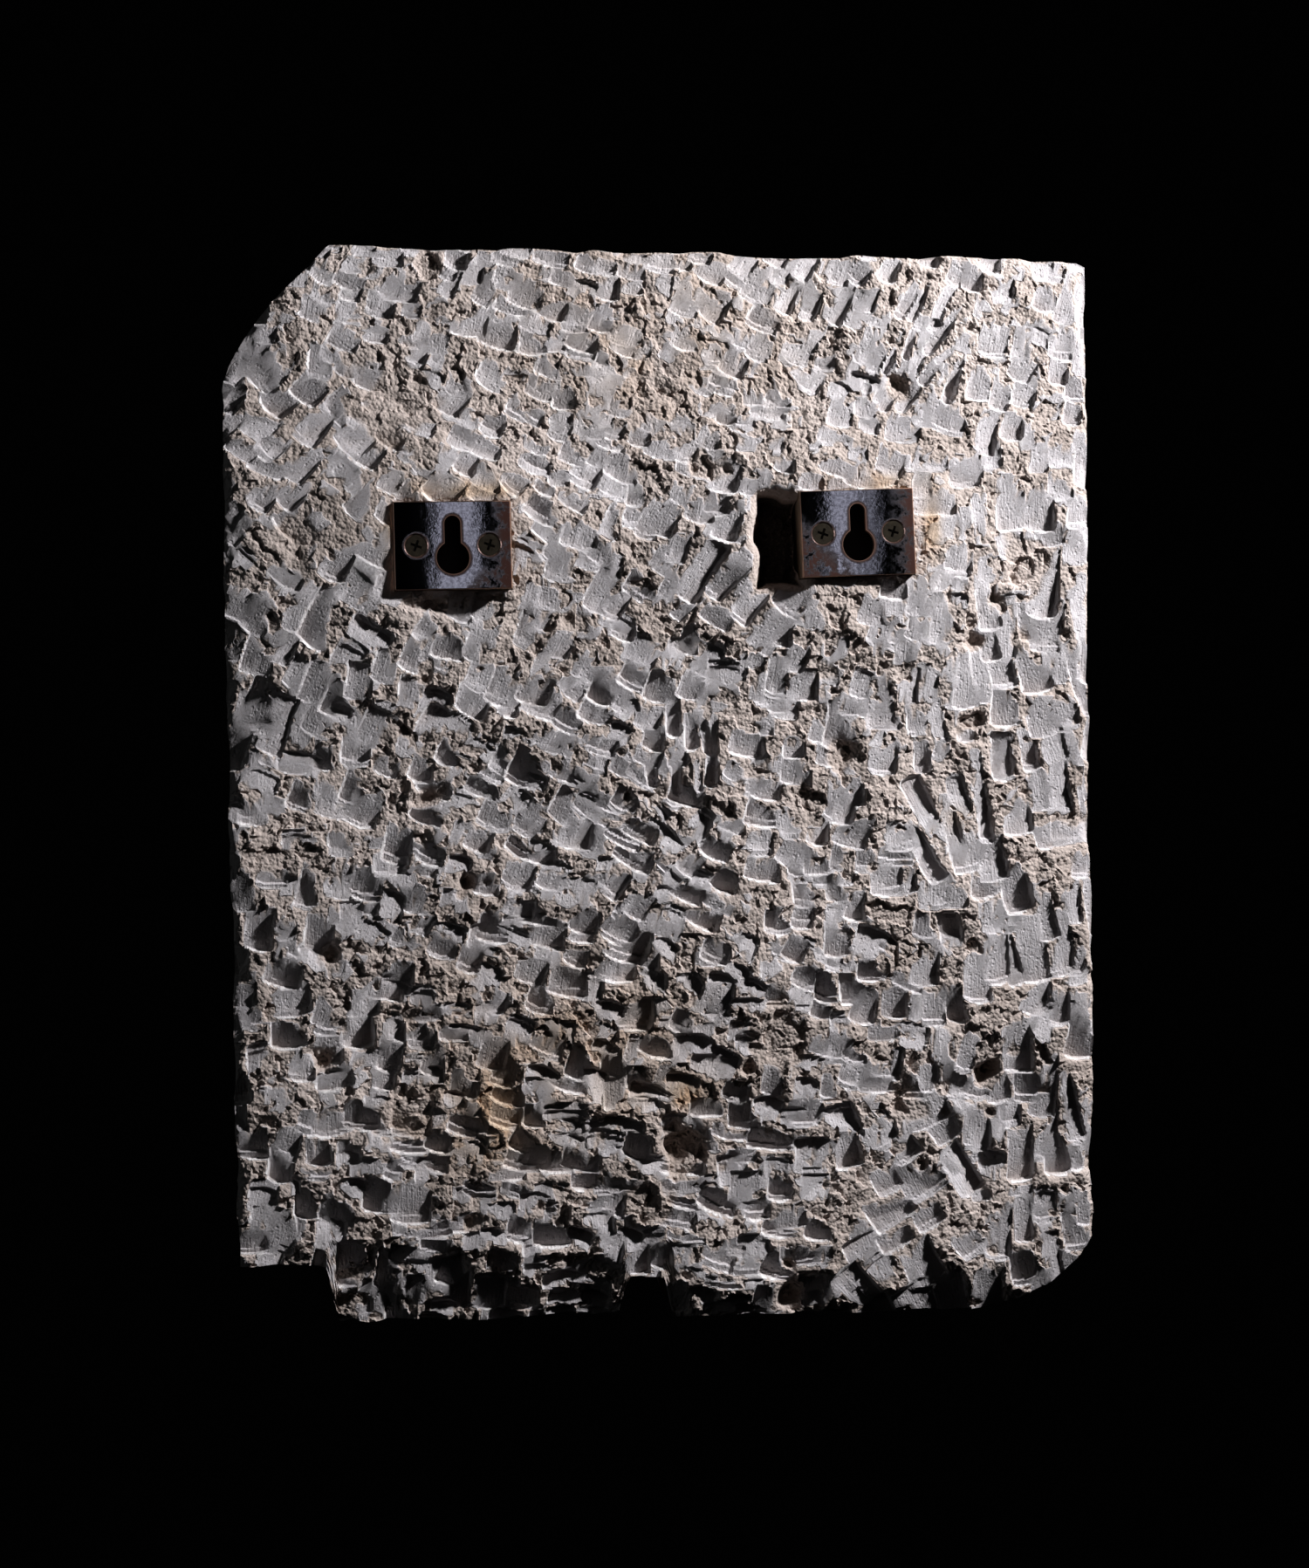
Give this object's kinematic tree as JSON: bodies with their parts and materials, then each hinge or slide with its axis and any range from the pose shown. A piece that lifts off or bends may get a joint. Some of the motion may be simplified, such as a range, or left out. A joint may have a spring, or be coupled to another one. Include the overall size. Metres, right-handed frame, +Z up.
{
  "type": "limestone relief",
  "caption": "Rectangular limestone relief slab with a chisel-dressed back, a broken lower edge and keyhole hangers let into the stone for hanging it on a wall.",
  "frame": {"origin": "midway between the two keyhole seats where the wall screws carry the relief, in the plane of the wall", "axes": "+Z up; +Y away from the wall, towards the carved face; +X to the right as seen from the back"},
  "size_m": [0.3882, 0.058, 0.472],
  "materials": {
    "limestone": "rough chiselled",
    "plate_metal": "dark patinated bronze, semi-gloss",
    "block_metal": "dark patinated bronze, dull",
    "screw_metal": "darkened brass"
  },
  "bodies": {
    "root": {"limestone_slab": "limestone", "hanger_block_left": "block_metal", "hanger_block_right": "block_metal", "keyhole_plate_left": "plate_metal", "keyhole_plate_right": "plate_metal", "plate_screw_left_a": "screw_metal", "plate_screw_left_b": "screw_metal", "plate_screw_right_a": "screw_metal", "plate_screw_right_b": "screw_metal"}
  },
  "joints": []
}
